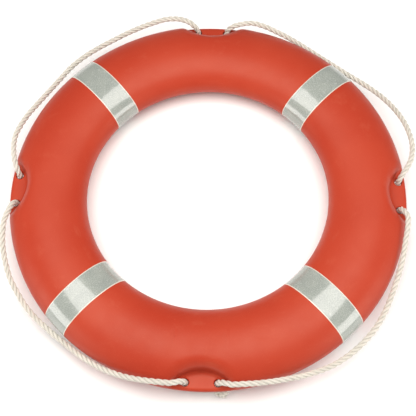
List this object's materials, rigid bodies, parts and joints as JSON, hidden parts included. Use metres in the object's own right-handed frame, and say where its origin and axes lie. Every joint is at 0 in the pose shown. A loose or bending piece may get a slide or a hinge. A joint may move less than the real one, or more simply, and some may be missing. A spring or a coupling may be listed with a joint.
{
  "type": "ring lifebuoy",
  "caption": "Ring lifebuoy: foam-filled moulded ring with wrapped reflective bands and a grab line threaded through edge webs to form loops that swing up.",
  "frame": {"origin": "centre of the ring on the surface that it lies on, z = 0 at the ring's lowest face", "axes": "+Z along the ring's axis, up; +X and +Y through two neighbouring rope anchors, with the knotted anchor at -Y"},
  "size_m": [0.7421, 0.7358, 0.09],
  "materials": {
    "shell": "satin orange-red polyethylene, lightly orange-peeled",
    "foam": "closed-cell polyurethane foam, never seen",
    "plug": "push-in polyethylene plug, satin",
    "tape": "silver retroreflective sheeting with sealed cells and white edges",
    "rope": "cream-white three-strand laid polypropylene rope"
  },
  "bodies": {
    "ring": {"outer_shell": "shell", "foam_core": "foam", "fill_plug": "plug", "vent_plug": "plug", "tape_back_right": "tape", "tape_back_left": "tape", "tape_front_left": "tape", "tape_front_right": "tape", "rope_tuck_right": "rope", "rope_tuck_back": "rope", "rope_tuck_left": "rope", "rope_tail_left": "rope", "rope_tail_right": "rope", "joining_knot": "rope"},
    "loop_back_right": {"grab_loop_back_right": "rope"},
    "loop_back_left": {"grab_loop_back_left": "rope"},
    "loop_front_left": {"grab_loop_front_left": "rope"},
    "loop_front_right": {"grab_loop_front_right": "rope"}
  },
  "joints": [
    {"name": "swing_back_right", "type": "hinge", "parent": "ring", "child": "loop_back_right", "pos_m": [0.35862, 0.04552, 0.071], "axis": [0.711, -0.7032, 0], "range_deg": [0, 90]},
    {"name": "swing_back_left", "type": "hinge", "parent": "ring", "child": "loop_back_left", "pos_m": [-0.04595, 0.35798, 0.071], "axis": [0.7045, 0.7097, 0], "range_deg": [0, 90]},
    {"name": "swing_front_left", "type": "hinge", "parent": "ring", "child": "loop_front_left", "pos_m": [-0.35206, -0.04865, 0.071], "axis": [-0.7074, 0.7068, 0], "range_deg": [0, 90]},
    {"name": "swing_front_right", "type": "hinge", "parent": "ring", "child": "loop_front_right", "pos_m": [0.04875, -0.35169, 0.071], "axis": [-0.7095, -0.7047, 0], "range_deg": [0, 90]}
  ]
}
